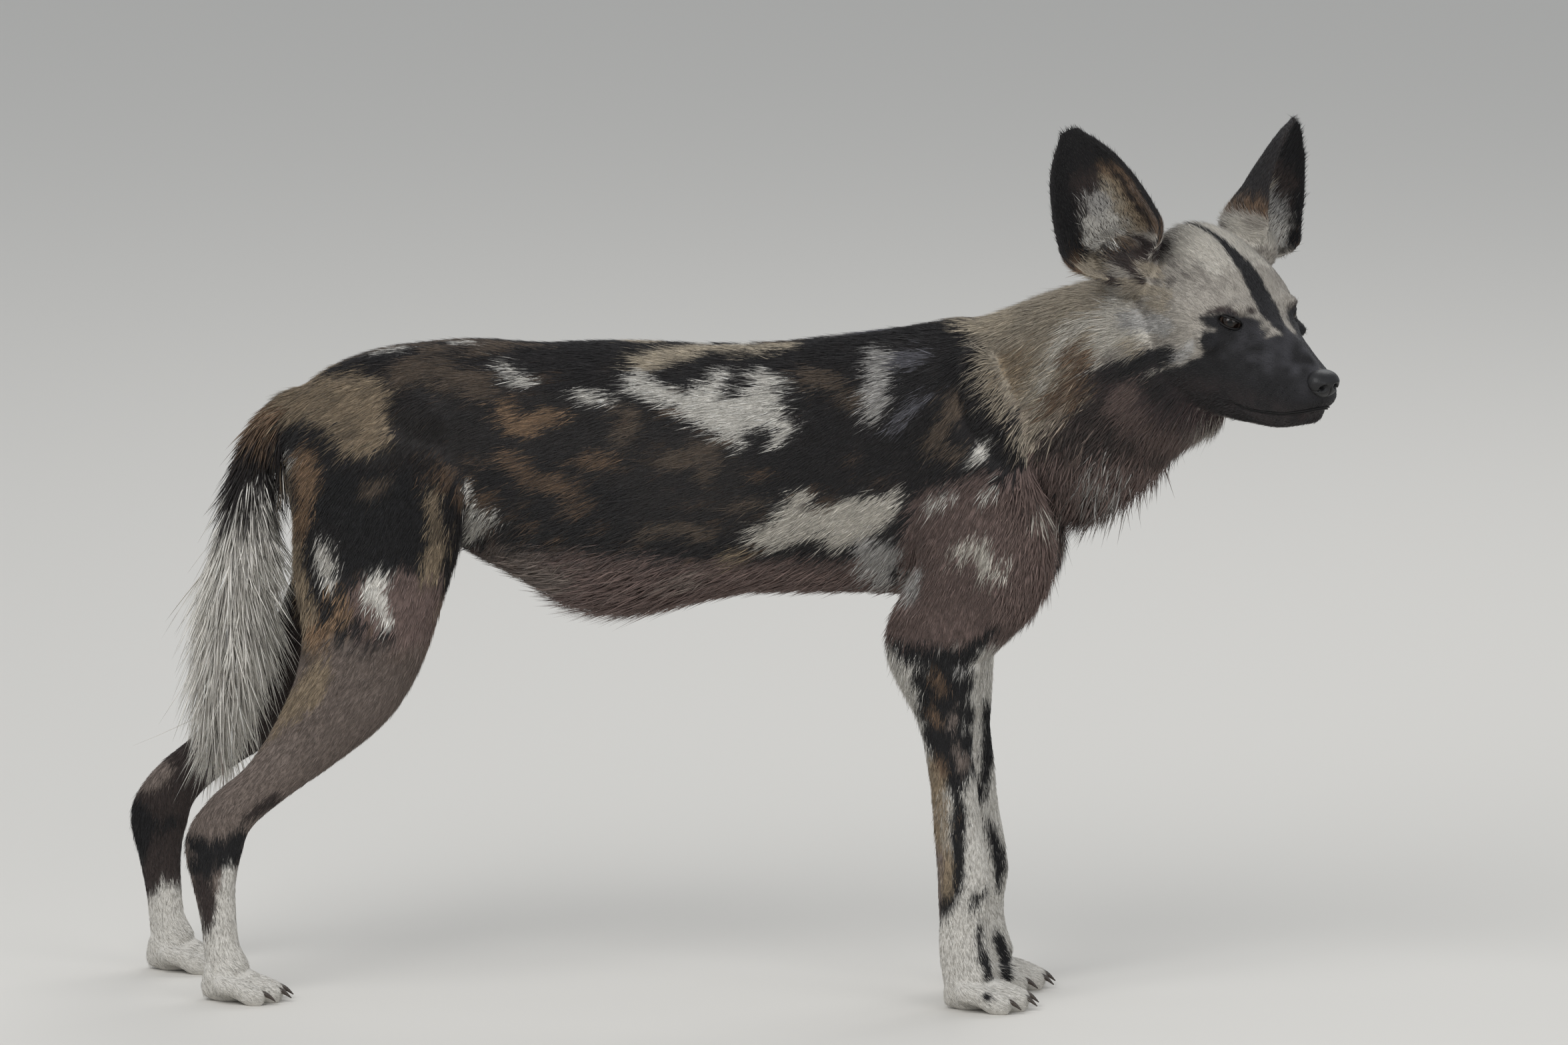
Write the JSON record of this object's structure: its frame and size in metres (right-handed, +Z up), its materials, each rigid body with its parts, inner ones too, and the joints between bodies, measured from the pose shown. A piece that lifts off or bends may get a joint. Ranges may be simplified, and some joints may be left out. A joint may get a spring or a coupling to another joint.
{
  "type": "standing african wild dog model",
  "caption": "Life-size standing wild dog with large rounded cupped ears, head turned to one side, deep chest, long thin legs and a hanging brush tail.",
  "frame": {"origin": "middle of the bounding box in plan, on the floor that the paws stand on", "axes": "+X points the way the body faces, +Y to the animal's left, +Z up"},
  "size_m": [1.2101, 0.2873, 0.8844],
  "materials": {
    "coat": "short mottled hair over skin, black, tan and white in patches",
    "head_fur": "short sandy and black hair",
    "ear_fur": "short dark hair over thin cartilage",
    "leg_fur": "short tan, white and black hair",
    "paw_fur": "short white hair with black streaks, dark claws and pads",
    "tail_fur": "long white brush below a black band",
    "eye": "wet dark brown eye"
  },
  "bodies": {
    "root": {"ear_left": "ear_fur", "ear_right": "ear_fur", "eye_left": "eye", "eye_right": "eye", "foreleg_left": "leg_fur", "foreleg_right": "leg_fur", "forepaw_left": "paw_fur", "forepaw_right": "paw_fur", "head": "head_fur", "hindpaw_left": "paw_fur", "hindpaw_right": "paw_fur", "hock_left": "coat", "hock_right": "coat", "neck": "coat", "shank_left": "coat", "shank_right": "coat", "tail": "tail_fur", "thigh_left": "coat", "thigh_right": "coat", "torso": "coat"}
  },
  "joints": []
}
